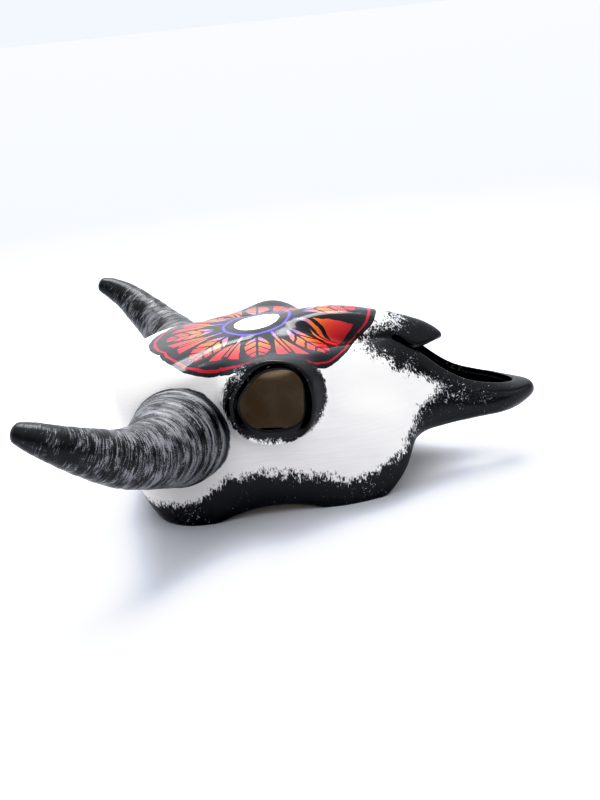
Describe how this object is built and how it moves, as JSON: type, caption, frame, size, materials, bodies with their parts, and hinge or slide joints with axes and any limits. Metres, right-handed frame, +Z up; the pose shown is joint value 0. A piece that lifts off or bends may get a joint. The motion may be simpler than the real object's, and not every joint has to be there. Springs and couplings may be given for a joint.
{
  "type": "painted ceramic longhorn skull",
  "caption": "Hollow, open based ceramic cattle skull ornament with two curved horns, open eye sockets, a nasal slot and a hand painted forehead medallion.",
  "frame": {"origin": "middle of the whole object's box, on the surface it rests on", "axes": "+X towards the snout, +Y towards the animal's left side, +Z up; y = 0 is the mirror plane"},
  "size_m": [0.2439, 0.251, 0.0898],
  "materials": {
    "painted_skull": "satin white paint on fired clay, black sponged edges, painted forehead medallion",
    "painted_horn": "black paint dry brushed with light grey round the growth rings"
  },
  "bodies": {
    "root": {"skull": "painted_skull", "horn_right": "painted_horn", "horn_left": "painted_horn"}
  },
  "joints": []
}
